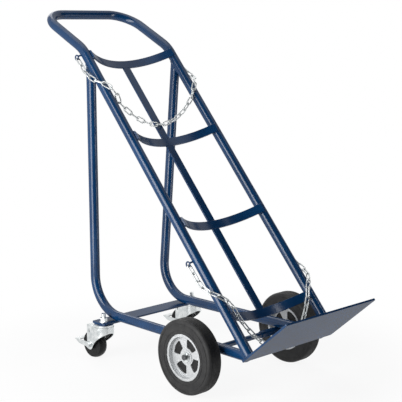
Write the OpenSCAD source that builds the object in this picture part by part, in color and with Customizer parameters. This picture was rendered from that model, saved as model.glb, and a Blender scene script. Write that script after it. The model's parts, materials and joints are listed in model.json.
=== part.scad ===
// Gas cylinder trolley. Millimetres, +Z up, front (toe plate) towards -Y, left is -X.

/* [Tube frame] */
// Outside diameter of the bent tubes
tube_d = 27; // [20:0.5:35]
// Wall of the tubes
tube_wall = 2.6; // [1.5:0.1:4]
// Distance between the rail centrelines
rail_spacing = 321; // [280:1:380]
// Lean of the rails from the vertical
rail_lean = 40.8; // [30:0.1:50]
// Rail length from the toe plate's underside to the kink
rail_length = 990; // [850:5:1150]
// Extra lean of the handle behind the kink
handle_kink = 22.5; // [0:0.5:40]
// Length from the kink to the handle bar's centreline
handle_reach = 209; // [150:1:300]
// Bend radius at the kink
kink_radius = 110; // [60:5:250]
// Bend radius of the handle corners
handle_radius = 75; // [40:1:120]
// How far the rail foot stands in front of the axle
foot_set = 183.8; // [120:0.1:240]
// Height of the rail foot above the ground
foot_height = 128.4; // [110:0.1:160]
// Gap left between coped and butted pieces for the weld
weld_gap = 0.1; // [0.05:0.05:0.5]
// Thinning of the tube wall in a bend, on each side
bend_thin = 0.02; // [0.01:0.01:0.2]
// Length by which a straight reaches into a bend
bend_seat = 0.5; // [0.2:0.1:1]

/* [Legs] */
// Length of rail from the leg's joint to the kink
leg_drop = 54; // [40:1:150]
// Distance between the legs at the rear corners
leg_corner_spacing = 263.4; // [200:0.1:330]
// Distance between the base tubes at the rail feet
base_foot_spacing = 293.6; // [240:0.1:340]
// How far the leg corners lie behind the axle
leg_corner_set = 458.4; // [380:0.1:520]
// Bend radius of the leg corners
leg_radius = 100; // [60:5:150]

/* [Rungs and strap] */
// Width of the flat bar
bar_w = 20; // [12:1:30]
// Thickness of the flat bar
bar_t = 5; // [3:0.5:8]
// Radius of the rungs' front faces
rung_radius = 275; // [180:5:400]
// Depth of the rungs' middle behind the rail plane
rung_depth = 38; // [20:1:60]
// Place of the lowest rung along the rail
first_rung = 119; // [80:1:160]
// Length of rail from the top rung to the kink
rung_drop = 31; // [25:1:100]

/* [Toe plate] */
// Width of the toe plate
plate_w = 350; // [280:1:450]
// Length in front of the rail centrelines
plate_front = 172; // [120:1:260]
// Length behind the rail centrelines
plate_rear = 19.4; // [15:0.1:60]
// Thickness of the toe plate
plate_t = 5; // [3:0.5:8]

/* [Axle and wheels] */
// Diameter of the main wheels
wheel_d = 200; // [150:5:300]
// Width of the main wheels at the hub
wheel_w = 46.6; // [30:0.1:70]
// Distance between the wheels' middle planes
track = 392; // [340:1:450]
// Diameter of the axle rod
axle_d = 15; // [10:1:25]
// Outside diameter of the axle sleeves
sleeve_d = 20; // [15:1:30]
// Inner end of each sleeve from the middle
sleeve_inner = 78; // [40:1:120]
// Outer end of each sleeve from the middle
sleeve_outer = 168; // [140:1:170]
// How far a hub's outer face lies outside the wheel's middle plane
hub_face = 10.5; // [6:0.1:20]
// Length of the axle rod outside each hub
axle_stub = 9; // [5:0.5:15]
// Thickness of the washers outside the wheels
hub_washer_t = 2; // [1:0.1:3]
// Thickness of the clips on the axle ends
clip_t = 1.5; // [1:0.1:2]
// Width of the clips' rings
clip_w = 3; // [2:0.5:4]
// Diameter of the rims
rim_d = 124; // [100:1:150]
// Wall of a rim's lip
rim_lip = 7; // [5:0.5:9]
// How far a rim's lip lies inside the hub's end
rim_inset = 3; // [2:0.5:5]
// How far a tyre's side lies inside the hub's end
tyre_inset = 1; // [0.5:0.5:3]
// Radius of a tyre's shoulders
tyre_shoulder = 9; // [5:0.5:12]
// Diameter of the hub bushes
bush_d = 28; // [22:1:40]
// Wall of a hub round its bush
hub_wall = 5; // [3:0.5:7]
// Number of tread ribs' grooves
tread_grooves = 7; // [3:1:9]
// Width of the tread's grooves
tread_groove_w = 1.4; // [1:0.1:2]
// Depth of the tread's grooves
tread_groove_h = 1; // [0.5:0.1:2]
// Distance of a rim's discs from the wheel's middle plane
web_set = 5.5; // [4:0.5:8]
// Thickness of a rim's discs
web_t = 3; // [2:0.1:5]
// Number of windows in a rim
rim_windows = 4; // [3:1:6]
// Angle that a window spans
window_angle = 54; // [40:1:62]
// Inner radius of the windows
window_in = 23; // [22:0.5:28]
// Outer radius of the windows
window_out = 47; // [40:0.5:50]
// Corner radius of the windows
window_r = 4.5; // [3:0.5:6]
// Turn of the windows from the axle's level
window_turn = 28; // [0:1:89]
// Radius of the inner groove in the tyres' sides
groove_in = 71; // [66:1:80]
// Radius of the outer groove in the tyres' sides
groove_out = 88; // [82:1:90]
// Width of the grooves in the tyres' sides, which are half as deep
side_groove_w = 1.6; // [1:0.1:2]

/* [Casters] */
// Diameter of the caster wheels
caster_d = 80; // [60:5:100]
// Width of the caster wheels' tread
caster_w = 25; // [18:1:32]
// Overall height of a caster up to its bar
caster_h = 105; // [90:1:130]
// Trail from the swivel bolt back to the wheel axle
caster_trail = 40; // [20:1:50]
// How far the swivel bolts stand in front of the leg corners
caster_back = 85.2; // [70:0.1:110]
// Distance between the two swivel bolts
caster_spacing = 346.8; // [280:0.1:400]
// Diameter of the swivel bolts
bolt_d = 12; // [8:1:16]
// Diameter of the caster axle bolts
pin_d = 8; // [6:1:12]
// Radius of the fork's round front
fork_r = 29; // [24:0.5:36]
// Sheet thickness of the fork
fork_t = 2.5; // [1.5:0.1:4]
// Width of the fork across its side plates
fork_w = 42; // [36:1:52]
// Height of the lower edge of the fork's round front
fork_lip_z = 85; // [75:1:95]
// Height of the knee in the cheeks' front edge
fork_knee_z = 68; // [60:1:75]
// Distance of the knee in front of the swivel bolt
fork_knee_set = 9; // [5:1:15]
// Height of the cheeks' front edge beside the axle eye
fork_neck_z = 41; // [36:1:46]
// Distance of that place behind the swivel bolt
fork_neck_set = 24; // [18:1:30]
// Radius of the axle eyes in the cheeks
fork_eye = 14; // [11:0.5:16]
// Length of the cheeks behind the wheel axle
fork_tail = 13; // [12:0.5:16]
// Width of the slit in the cheeks
slit_w = 3; // [2:0.5:4]
// Length of the slit in the cheeks
slit_l = 11; // [6:1:14]
// Height of the slit above the wheel axle
slit_rise = 37; // [32:1:40]
// Depth of the caster bar, front to back
caster_bar_w = 55; // [40:1:80]
// Length of the caster bar
caster_bar_l = 374; // [350:1:420]
// How far the caster bar's middle lies behind the swivel bolts
caster_bar_shift = 8.3; // [0:0.1:15]
// Corner radius of the caster bar
bar_corner = 5; // [2:0.5:12]
// Length of the brake pedal behind the wheel axle
pedal_reach = 64; // [52:1:80]
// Sheet thickness of the brake pedal
pedal_t = 2; // [1.5:0.1:3]
// Height of a swivel bolt above the caster bar
stud_h = 26; // [20:1:40]
// Diameter of a swivel bolt's head
bolt_head_d = 22; // [18:1:24]
// Thickness of a swivel bolt's head
bolt_head_t = 7; // [5:0.5:9]
// Width across the flats of the swivel nuts
nut_flats = 19; // [17:1:24]
// Height of the swivel nuts
nut_h = 11; // [8:0.5:14]
// Diameter of the swivel washers
washer_d = 24; // [22:1:30]
// Thickness of the swivel washers
washer_t = 2.5; // [1.5:0.1:3]
// Width across the flats of the caster axle bolts and nuts
pin_flats = 13; // [11:0.5:15]
// Height of a caster axle bolt's head
pin_head_t = 5; // [4:0.5:7]
// Height of a caster axle nut
pin_nut_t = 6.5; // [5:0.5:8]
// Length of a caster axle bolt outside its nut
pin_spare = 2.5; // [1:0.5:4]
// Wall of the caster wheels' bushes
caster_bush_wall = 3; // [2:0.5:4]
// Wall of the caster wheels' hubs
caster_hub_wall = 5; // [3:0.5:7]
// How far a caster wheel's hub lies inside its bush's end
caster_hub_inset = 2; // [1:0.5:4]
// Crown radius of the caster wheels' tread
caster_crown = 26; // [22:1:36]
// Length of the brake pedal's tread
tread_l = 20; // [14:1:24]
// Height of the brake pedal's arms
arm_h = 16; // [14:1:18]

/* [Chains] */
// Wire diameter of the links
wire_d = 3.6; // [3:0.1:5]
// Inside length of a link
link_inside = 25.4; // [20:0.1:32]
// Inside width of a link
link_width = 7.2; // [5:0.2:9]
// Play between hooked links
link_play = 1; // [0.3:0.1:1.5]
// How far the upper chain's lugs lie above the top rung
upper_lug_rise = 7; // [5:0.5:10]
// How far the lower chain's lugs lie above the bottom rung
lower_lug_rise = 166; // [160:1:175]
// Depth of the lugs' chain ends behind the rail plane
lug_depth = 15; // [12:0.5:25]
// Hanging links on each side of the upper chain
upper_links = 6; // [5:1:7]
// Hanging links on each side of the lower chain
lower_links = 7; // [6:1:8]
// Lean of the upper chain's hanging part, which rests on the strap
upper_tilt = 13; // [0:0.5:20]
// Lean of the lower chain's hanging part, which rests on the lowest rung
lower_tilt = 18; // [0:0.5:30]
// Curve of the upper chain, bottom radius
upper_curve = 144; // [120:1:170]
// Curve of the lower chain, bottom radius
lower_curve = 100; // [90:1:130]
// Wire diameter of the lug rings
ring_wire = 4; // [3.5:0.5:6]
// Middle radius of the lug rings
ring_r = 6.5; // [6:0.5:10]
// Diameter of the lugs' stems
stem_d = 5; // [4:0.5:7]

/* [Fits] */
// Play across a bolt in a drilled hole
bolt_slack = 1; // [0.4:0.1:2]
// Radial play of turning parts on their pins
run_play = 0.05; // [0.02:0.01:0.1]
// Play between faces that slide or turn past each other
face_play = 0.4; // [0.3:0.1:1]

/* [Hidden] */
$fn = 48;
LEFT = -1;
RIGHT = 1;
RUNGS = 4;
BLUE = "#1c3f73";
ZINC = "#c9ced0";
BLACK = "#26282a";
SILVER = "#b4b8ba";
tube_r = tube_d / 2;
rung_pitch = (rail_length - rung_drop - first_rung) / (RUNGS - 1);
leg_joint = rail_length - leg_drop;
caster_set = leg_corner_set - caster_back;
upper_lug = rung_place(RUNGS - 1) + upper_lug_rise;
lower_lug = rung_place(0) + lower_lug_rise;
axle_z = wheel_d / 2;
base_z = axle_z + sleeve_d / 2 + weld_gap + tube_r;
rail_x = rail_spacing / 2;
rung_half_angle = atan2(rail_x, rung_radius - rung_depth);
bar_top = base_z - tube_r - weld_gap;
bar_under = caster_h;
up_rail = [0, sin(rail_lean), cos(rail_lean)];
back_rail = [0, cos(rail_lean), -sin(rail_lean)];
foot = [0, -foot_set, foot_height];
kink = foot + rail_length * up_rail;
grip = kink + handle_reach * [0, sin(rail_lean + handle_kink), cos(rail_lean + handle_kink)];
front_y = foot[1] - plate_front * back_rail[1];
mid_y = (front_y + grip[1] + tube_r) / 2;
wheel_x = track / 2;
hub_in = wheel_x - wheel_w / 2;
hub_out = wheel_x + hub_face;
hub_l = hub_out - hub_in;
hub_d = bush_d + 2 * hub_wall;
well_d = rim_d - 2 * rim_lip;
caster_x = caster_spacing / 2;
pin_z = caster_d / 2;
race_t = bar_under - weld_gap - fork_top() - face_play;
pedal_in = fork_w / 2 + face_play;
pedal_out = pedal_in + pedal_t;
pin_face = pedal_out + face_play;
caster_hub_l = fork_w - 2 * fork_t - 2 * face_play;
link_step = link_inside - link_play;
// Hanging links per side, curve, lean, place of the lugs, and the direction of the link next to the rail
UPPER = [upper_links, upper_curve, upper_tilt, upper_lug, [0.35, 0.02, 0.94]];
LOWER = [lower_links, lower_curve, lower_tilt, lower_lug, [0.37, 0.30, 0.88]];
// Directions of the links from the rail's front, round its outside, to the lug
WRAP = [
  [0.54, 0.35, 0.76], [0.58, 0.65, 0.48], [0.45, 0.84, 0.28], [0.10, 0.92, 0.38],
  [-0.05, 0.82, 0.56], [-0.12, 0.74, 0.66], [0, 0.70, 0.71]
];
// Links past the hanging ones that swing with them
LOOP_WRAP = 2;

function fork_top() = caster_h - 6;
function unit(v) = v / norm(v);
function rail_point(x, depth, along) = foot + [x, 0, 0] + depth * back_rail + along * up_rail;
function rung_place(i) = first_rung + i * rung_pitch;

// Moves a piece from the axle's frame to the middle of the whole trolley.
module placed() translate([0, -mid_y, 0]) children();

// Frame with X across, Y behind the rail plane and Z up the rails.
module on_rails(along = 0)
  placed() translate(foot) rotate([-rail_lean, 0, 0]) translate([0, 0, along]) children();

// Frame given by its three axes and its origin.
module frame_at(x, y, z, o)
  multmatrix([
    [x[0], y[0], z[0], o[0]],
    [x[1], y[1], z[1], o[1]],
    [x[2], y[2], z[2], o[2]],
    [0, 0, 0, 1]
  ]) children();

// Frame at a whose Z axis points to b.
module between(a, b) {
  d = b - a;
  translate(a) rotate([0, acos(d[2] / norm(d)), atan2(d[1], d[0])]) children();
}

module across(x) translate([x, 0, 0]) rotate([0, 90, 0]) children();

module ring(d, bore, h)
  difference() {
    cylinder(d = d, h = h);
    translate([0, 0, -1]) cylinder(d = bore, h = h + 2);
  }

module hex(flats, h) cylinder(d = flats / cos(30), h = h, $fn = 6);

module nut(flats, bore, h)
  difference() {
    hex(flats, h);
    translate([0, 0, -1]) cylinder(d = bore, h = h + 2);
  }

module rounded_rect(w, l, r) {
  square([w - 2 * r, l], center = true);
  square([w, l - 2 * r], center = true);
  for (sx = [-1, 1], sy = [-1, 1]) translate([sx * (w / 2 - r), sy * (l / 2 - r)]) circle(r = r);
}

module tube_section(thin = 0)
  difference() {
    circle(r = tube_r - thin);
    circle(r = tube_r - tube_wall + thin);
  }

// End of a bend of the given radius and angle, turning from +Z towards +X.
module bend_end(radius, angle)
  translate([radius, 0, 0]) rotate([0, angle, 0]) translate([-radius, 0, 0]) children();

// The wall is thinned a little in a bend, as on a real bender.
module elbow(radius, angle)
  translate([radius, 0, 0]) rotate([90, 0, 180])
    rotate_extrude(angle = angle) translate([radius, 0]) tube_section(bend_thin);

// Tube made like on a bender: each row is a straight length, a bend radius, an angle and a roll.
module bent_tube(rows, i = 0) {
  start = i == 0 ? 0 : -bend_seat;
  stop = rows[i][0] + (i == len(rows) - 1 ? 0 : bend_seat);
  translate([0, 0, start]) linear_extrude(stop - start) tube_section();
  if (i < len(rows) - 1)
    translate([0, 0, rows[i][0]]) rotate([0, 0, rows[i][3]]) {
      elbow(rows[i][1], rows[i][2]);
      bend_end(rows[i][1], rows[i][2]) bent_tube(rows, i + 1);
    }
}

module rail_bores(r)
  for (s = [-1, 1]) translate([s * rail_x, 0, -50]) cylinder(r = r, h = rail_length + 50);

module main_tube() {
  kink_cut = kink_radius * tan(handle_kink / 2);
  lower = rail_length - plate_t - weld_gap - kink_cut;
  side = handle_reach - kink_cut - handle_radius;
  rows = [
    [lower, kink_radius, handle_kink, 90],
    [side, handle_radius, 90, -90],
    [rail_spacing - 2 * handle_radius, handle_radius, 90, 0],
    [side, kink_radius, handle_kink, 90],
    [lower]
  ];
  color(BLUE) on_rails(plate_t + weld_gap) translate([-rail_x, 0, 0]) bent_tube(rows);
}

module leg_tube(side) {
  top = rail_point(side * rail_x, 0, leg_joint);
  corner = [side * leg_corner_spacing / 2, leg_corner_set, base_z];
  nose = [side * base_foot_spacing / 2, -foot_set, base_z];
  down = unit(corner - top);
  ahead = unit(nose - corner);
  turn = acos(down * ahead);
  cut = leg_radius * tan(turn / 2);
  inward = unit(ahead - (ahead * down) * down);
  trim = 4 * tube_d;
  color(BLUE) difference() {
    placed() frame_at(inward, cross(down, inward), down, top)
      bent_tube([[norm(corner - top) - cut, leg_radius, turn, 0], [norm(nose - corner) - cut]]);
    on_rails() rail_bores(tube_r + weld_gap);
    on_rails(-trim) translate([-rail_x - trim, -trim, 0])
      cube([rail_spacing + 2 * trim, 2 * trim, trim + plate_t + weld_gap]);
  }
}
module left_leg_tube() leg_tube(LEFT);
module right_leg_tube() leg_tube(RIGHT);

module rung(i)
  color(BLUE) on_rails(rung_place(i) - bar_w / 2) difference() {
    translate([0, rung_depth - rung_radius, 0]) rotate([0, 0, 90 - rung_half_angle])
      rotate_extrude(angle = 2 * rung_half_angle, $fn = 96)
        translate([rung_radius, 0]) square([bar_t, bar_w]);
    rail_bores(tube_r + weld_gap);
  }
module bottom_rung() rung(0);
module lower_middle_rung() rung(1);
module upper_middle_rung() rung(2);
module top_rung() rung(RUNGS - 1);

module strap(i)
  color(BLUE) on_rails(rung_place(i) + bar_w / 2 + weld_gap)
    translate([-bar_w / 2, rung_depth, 0]) cube([bar_w, bar_t, rung_pitch - bar_w - 2 * weld_gap]);
module lower_strap() strap(0);
module middle_strap() strap(1);
module upper_strap() strap(2);

module toe_plate()
  color(BLUE) on_rails() translate([0, (plate_rear - plate_front) / 2, 0])
    linear_extrude(plate_t) rounded_rect(plate_w, plate_front + plate_rear, 4);

module on_axle() placed() translate([0, 0, axle_z]) children();

module axle_sleeve(side)
  color(BLUE) on_axle() across(side > 0 ? sleeve_inner : -sleeve_outer)
    ring(sleeve_d, axle_d + 2 * run_play, sleeve_outer - sleeve_inner);
module left_axle_sleeve() axle_sleeve(LEFT);
module right_axle_sleeve() axle_sleeve(RIGHT);

module axle_rod()
  color(BLUE) on_axle() across(-hub_out - axle_stub) cylinder(d = axle_d, h = 2 * (hub_out + axle_stub));

module axle_washers() {
  inner_t = hub_in - sleeve_outer - 2 * face_play;
  color(ZINC) on_axle() for (s = [0, 180]) rotate([0, 0, s]) {
    across(sleeve_outer + face_play) ring(bush_d + 2, axle_d + 2 * run_play, inner_t);
    across(hub_out + face_play) ring(bush_d, axle_d + 2 * run_play, hub_washer_t);
  }
}

module axle_clips()
  color(ZINC) on_axle() for (s = [0, 180]) rotate([0, 0, s])
    across(hub_out + 2 * face_play + hub_washer_t) ring(axle_d + 2 * clip_w, axle_d + 2 * run_play, clip_t);

module tyre_section() {
  wide = wheel_w - 2 * tyre_inset;
  inner = rim_d / 2 + weld_gap;
  high = wheel_d / 2 - inner;
  groove_pitch = (wide - 2 * tyre_shoulder) / (tread_grooves - 1);
  difference() {
    union() {
      translate([inner, -wide / 2]) square([high - tyre_shoulder, wide]);
      translate([inner, -wide / 2 + tyre_shoulder]) square([high, wide - 2 * tyre_shoulder]);
      for (s = [-1, 1]) translate([wheel_d / 2 - tyre_shoulder, s * (wide / 2 - tyre_shoulder)])
        circle(r = tyre_shoulder);
    }
    for (i = [0 : tread_grooves - 1])
      translate([wheel_d / 2, -wide / 2 + tyre_shoulder + i * groove_pitch])
        square([2 * tread_groove_h, tread_groove_w], center = true);
    for (r = [groove_in, groove_out], s = [-1, 1])
      translate([r, s * wide / 2]) square(side_groove_w, center = true);
  }
}

// Frame in a wheel's middle whose Z axis points outwards.
module on_wheel(side) on_axle() translate([side * wheel_x, 0, 0]) rotate([0, side * 90, 0]) children();

module tyre(side) color(BLACK) on_wheel(side) rotate_extrude($fn = 96) tyre_section();
module left_tyre() tyre(LEFT);
module right_tyre() tyre(RIGHT);

module sector(inner, outer, half)
  intersection() {
    difference() {
      circle(r = outer);
      circle(r = inner);
    }
    polygon([[0, 0], 2 * outer * [cos(half), -sin(half)], 2 * outer * [cos(half), sin(half)]]);
  }

// Window between two spokes, with round corners, about the X axis.
module rim_window() {
  half = window_angle / 2;
  near = window_in + window_r;
  far = window_out - window_r;
  near_half = half - asin(window_r / near);
  far_half = half - asin(window_r / far);
  middle = (near + far) / 2;
  sector(window_in, middle, near_half);
  sector(middle - 1, window_out, far_half);
  for (s = [-1, 1]) {
    a = near * [cos(near_half), s * sin(near_half)];
    b = far * [cos(far_half), s * sin(far_half)];
    side = window_r * [-sin(half), s * cos(half)];
    translate(a) circle(r = window_r);
    translate(b) circle(r = window_r);
    polygon([a + side, b + side, b - side, a - side]);
  }
}

// Two pressed halves that meet in the middle plane and clamp the core.
module rim(side) {
  bead_w = wheel_w - 2 * rim_inset;
  color(SILVER) on_wheel(side) difference() {
    union() {
      translate([0, 0, -bead_w / 2]) ring(rim_d, well_d, bead_w);
      for (z = [-web_set - web_t, web_set]) translate([0, 0, z]) cylinder(d = well_d + 2, h = web_t);
      translate([0, 0, -wheel_w / 2]) cylinder(d = hub_d, h = hub_l);
    }
    for (i = [0 : rim_windows - 1]) rotate([0, 0, i * 360 / rim_windows + side * window_turn])
      translate([0, 0, -wheel_w]) linear_extrude(2 * wheel_w) rim_window();
    translate([0, 0, -wheel_w]) cylinder(d = bush_d + 2 * weld_gap, h = 2 * wheel_w);
    translate([0, 0, -weld_gap / 2]) cylinder(d = wheel_d, h = weld_gap);
  }
}
module left_rim() rim(LEFT);
module right_rim() rim(RIGHT);

module core(side) {
  thick = 2 * (web_set - weld_gap);
  color(BLACK) on_wheel(side) translate([0, 0, -thick / 2])
    ring(well_d - 2 * weld_gap, hub_d + 2 * weld_gap, thick);
}
module left_core() core(LEFT);
module right_core() core(RIGHT);

module bush(side)
  color(ZINC) on_wheel(side) translate([0, 0, -wheel_w / 2]) ring(bush_d, axle_d + 2 * run_play, hub_l);
module left_bush() bush(LEFT);
module right_bush() bush(RIGHT);

module at_casters() placed() for (s = [-1, 1]) translate([s * caster_x, caster_set, 0]) children();

module caster_bar()
  color(BLUE) difference() {
    placed() translate([0, caster_set + caster_bar_shift, bar_under])
      linear_extrude(bar_top - bar_under) rounded_rect(caster_bar_l, caster_bar_w, bar_corner);
    at_casters() translate([0, 0, bar_under - 1])
      cylinder(d = bolt_d + bolt_slack, h = bar_top - bar_under + 2);
  }

module caster_bolts() {
  head_top = fork_top() - fork_t - face_play;
  color(ZINC) at_casters() {
    translate([0, 0, head_top - bolt_head_t]) cylinder(d = bolt_head_d, h = bolt_head_t);
    translate([0, 0, head_top]) cylinder(d = bolt_d, h = bar_top + stud_h - head_top);
  }
}

module caster_washers()
  color(ZINC) at_casters() translate([0, 0, bar_top + weld_gap])
    ring(washer_d, bolt_d + bolt_slack, washer_t);

module caster_nuts()
  color(ZINC) at_casters() translate([0, 0, bar_top + washer_t + 2 * weld_gap])
    nut(nut_flats, bolt_d + 2 * weld_gap, nut_h);

module caster_races()
  color(ZINC) at_casters() translate([0, 0, fork_top() + face_play])
    ring(2 * fork_r - 2, bolt_d + 2 * weld_gap, race_t);

module on_caster(side) placed() translate([side * caster_x, caster_set, 0]) children();
module on_pin(side) on_caster(side) translate([0, caster_trail, pin_z]) children();

module fork_plan() {
  crease = sqrt(fork_r * fork_r - fork_w * fork_w / 4);
  tail = caster_trail + fork_tail;
  difference() {
    circle(r = fork_r);
    circle(r = fork_r - fork_t);
    translate([-fork_r, crease]) square([2 * fork_r, 2 * fork_r]);
  }
  for (s = [-1, 1]) translate([s * (fork_w - fork_t) / 2 - fork_t / 2, crease - fork_t])
    square([fork_t, tail - crease]);
}

module fork_side() {
  polygon([
    [-fork_r - 2, fork_top()], [-fork_r - 2, fork_lip_z],
    [-fork_knee_set, fork_knee_z], [fork_neck_set, fork_neck_z],
    [caster_trail - fork_eye * 0.7, pin_z - fork_eye * 0.71], [caster_trail + fork_eye * 0.99, pin_z + 2],
    [caster_trail + 12, fork_top()]
  ]);
  translate([caster_trail, pin_z]) circle(r = fork_eye);
}

module fork(side)
  color(ZINC) difference() {
    on_caster(side) {
      intersection() {
        linear_extrude(fork_top()) fork_plan();
        translate([-fork_r - 5, 0, 0]) rotate([90, 0, 90]) linear_extrude(2 * fork_r + 10) fork_side();
      }
      translate([0, 0, fork_top() - fork_t]) difference() {
        union() {
          cylinder(r = fork_r, h = fork_t);
          translate([-fork_w / 2, 0, 0]) cube([fork_w, caster_trail + 10, fork_t]);
        }
        translate([0, 0, -1]) cylinder(d = bolt_d + 2 * run_play, h = fork_t + 2);
      }
    }
    on_pin(side) across(-fork_w) cylinder(d = pin_d + 2 * run_play, h = 2 * fork_w);
    on_pin(side) translate([-fork_w, -slit_w / 3, slit_rise]) cube([2 * fork_w, slit_w, slit_l]);
  }
module left_fork() fork(LEFT);
module right_fork() fork(RIGHT);

module pin_bolt(side) {
  pin_out = pin_nut_t + pin_spare;
  color(ZINC) on_pin(side) {
    across(side > 0 ? pin_face : -pin_face - pin_head_t) hex(pin_flats, pin_head_t);
    across(side > 0 ? -pin_face - pin_out : -pin_face - 1)
      cylinder(d = pin_d, h = 2 * pin_face + pin_out + 1);
  }
}
module left_pin_bolt() pin_bolt(LEFT);
module right_pin_bolt() pin_bolt(RIGHT);

module pin_nut(side)
  color(ZINC) on_pin(side) across(side > 0 ? -pin_face - pin_nut_t : pin_face)
    nut(pin_flats, pin_d + 2 * weld_gap, pin_nut_t);
module left_pin_nut() pin_nut(LEFT);
module right_pin_nut() pin_nut(RIGHT);

module caster_wheel(side) {
  inner = pin_d / 2 + caster_bush_wall + weld_gap;
  color(BLACK) on_pin(side) rotate([0, 90, 0]) rotate_extrude($fn = 72) {
    intersection() {
      translate([inner, -caster_w / 2]) square([caster_d / 2 - inner, caster_w]);
      translate([caster_d / 2 - caster_crown, 0]) circle(r = caster_crown);
    }
    translate([inner, caster_hub_inset - caster_hub_l / 2])
      square([caster_hub_wall, caster_hub_l - 2 * caster_hub_inset]);
  }
}
module left_caster_wheel() caster_wheel(LEFT);
module right_caster_wheel() caster_wheel(RIGHT);

module caster_bush(side)
  color(ZINC) on_pin(side) across(-caster_hub_l / 2)
    ring(pin_d + 2 * caster_bush_wall, pin_d + 2 * run_play, caster_hub_l);
module left_caster_bush() caster_bush(LEFT);
module right_caster_bush() caster_bush(RIGHT);

module brake_pedal(side) {
  color(ZINC) on_pin(side) {
    for (s = [-1, 1]) difference() {
      translate([s > 0 ? pedal_in : -pedal_out, 0, 0]) rotate([90, 0, 90]) linear_extrude(pedal_t) {
        circle(d = arm_h);
        polygon([
          [0, -arm_h / 2], [pedal_reach - tread_l, -arm_h / 4], [pedal_reach, arm_h / 2 - pedal_t],
          [pedal_reach, arm_h / 2], [0, arm_h / 2]
        ]);
      }
      across(-fork_w) cylinder(d = pin_d + 2 * run_play, h = 2 * fork_w);
    }
    translate([-pedal_out, pedal_reach - tread_l, arm_h / 2 - pedal_t])
      cube([2 * pedal_out, tread_l, pedal_t]);
  }
}
module left_brake_pedal() brake_pedal(LEFT);
module right_brake_pedal() brake_pedal(RIGHT);

// Link directions from the middle of a hanging chain to its lug.
function hang_dir(slope, tilt) = [cos(slope), sin(slope) * sin(tilt), sin(slope) * cos(tilt)];
function chain_dirs(c) = concat(
  [for (i = [1 : c[0]]) hang_dir(atan(i * link_step / c[1]), c[2])],
  [unit(c[4])],
  [for (w = WRAP) unit(w)]
);
function sum_to(v, n) = n == 0 ? [0, 0, 0] : v[n - 1] + sum_to(v, n - 1);
function joints(dirs) = [for (i = [0 : len(dirs)]) [link_step / 2, 0, 0] + link_step * sum_to(dirs, i)];
// Directions square to the links, carried along without twist from the middle link.
function carry(r, u) = unit(r - (r * u) * u);
function carried(dirs, i) = i == 0 ? [0, 1, 0] : carry(carried(dirs, i - 1), dirs[i - 1]);
// Turn that brings the last link's plane onto the X axis, shared out over the links.
function twist(dirs, square) =
  let (u = dirs[len(dirs) - 1], r = square[len(dirs)])
  let (angle = atan2(cross(u, r)[0], r[0]) - 90 * (len(dirs) % 2))
  angle - 180 * round(angle / 180);
function chain_end(c) = let (all = joints(chain_dirs(c))) all[len(all) - 1];
// The middle of the chain, so that its end comes to the lug.
function chain_middle(c) =
  let (end = chain_end(c), place = rail_point(0, lug_depth, c[3]))
  [0, place[1] - end[1], place[2] - end[2]];

module link() {
  mid = (link_width + wire_d) / 2;
  half = link_inside / 2 - link_width / 2;
  for (s = [0, 180]) rotate([0, s, 0]) translate([0, 0, half]) rotate([90, 0, 0])
    rotate_extrude(angle = 180) translate([mid, 0]) circle(d = wire_d, $fn = 16);
  for (s = [-1, 1]) translate([s * mid, 0, -half]) cylinder(d = wire_d, h = 2 * half, $fn = 16);
}

// Links first to last of a chain, counted from the middle one, on both sides.
module chain_links(c, first, last) {
  dirs = chain_dirs(c);
  at = joints(dirs);
  square = [for (i = [0 : len(dirs)]) carried(dirs, i)];
  turn = twist(dirs, square) / len(dirs);
  for (side = [0, 1], i = [first : last]) mirror([side, 0, 0]) {
    u = dirs[i - 1];
    r = square[i];
    frame_at(r, cross(u, r), u, (at[i - 1] + at[i]) / 2) rotate([0, 0, 90 * (i % 2) + turn * i]) link();
  }
}

module chain_loop(c)
  color(ZINC) placed() translate(chain_middle(c)) {
    rotate([0, 90, 0]) rotate([0, 0, 90]) link();
    chain_links(c, 1, c[0] + LOOP_WRAP);
  }
module upper_chain() chain_loop(UPPER);
module lower_chain() chain_loop(LOWER);

module chain_ends(c)
  color(ZINC) placed() translate(chain_middle(c))
    chain_links(c, c[0] + LOOP_WRAP + 1, c[0] + 1 + len(WRAP));
module upper_chain_ends() chain_ends(UPPER);
module lower_chain_ends() chain_ends(LOWER);

module chain_lugs(c) {
  last = unit(WRAP[len(WRAP) - 1]);
  hold = chain_middle(c) + chain_end(c) + (ring_r - ring_wire / 2) * last;
  start = hold - ring_r * back_rail;
  axis_point = [rail_x, hold[1], hold[2]] - ((hold - foot) * back_rail) * back_rail;
  color(BLUE) difference() {
    placed() for (side = [0, 1]) mirror([side, 0, 0]) {
      translate(hold) rotate([0, 90, 0])
        rotate_extrude() translate([ring_r, 0]) circle(d = ring_wire, $fn = 24);
      between(start, axis_point) cylinder(d = stem_d, h = norm(axis_point - start), $fn = 24);
    }
    on_rails() rail_bores(tube_r + weld_gap);
  }
}
module upper_chain_lugs() chain_lugs(UPPER);
module lower_chain_lugs() chain_lugs(LOWER);

main_tube();
left_leg_tube();
right_leg_tube();
top_rung();
upper_middle_rung();
lower_middle_rung();
bottom_rung();
upper_strap();
middle_strap();
lower_strap();
toe_plate();
left_axle_sleeve();
right_axle_sleeve();
axle_rod();
axle_washers();
axle_clips();
caster_bar();
upper_chain_lugs();
lower_chain_lugs();
caster_bolts();
caster_nuts();
caster_washers();
caster_races();
left_tyre();
left_rim();
left_core();
left_bush();
right_tyre();
right_rim();
right_core();
right_bush();
left_fork();
left_pin_bolt();
left_pin_nut();
right_fork();
right_pin_bolt();
right_pin_nut();
left_caster_wheel();
left_caster_bush();
right_caster_wheel();
right_caster_bush();
left_brake_pedal();
right_brake_pedal();
upper_chain();
upper_chain_ends();
lower_chain();
lower_chain_ends();
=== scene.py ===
import itertools
import json
import logging
import math
from dataclasses import dataclass, field
from enum import Enum

import bmesh
import bpy
from mathutils import Matrix, Vector


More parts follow.
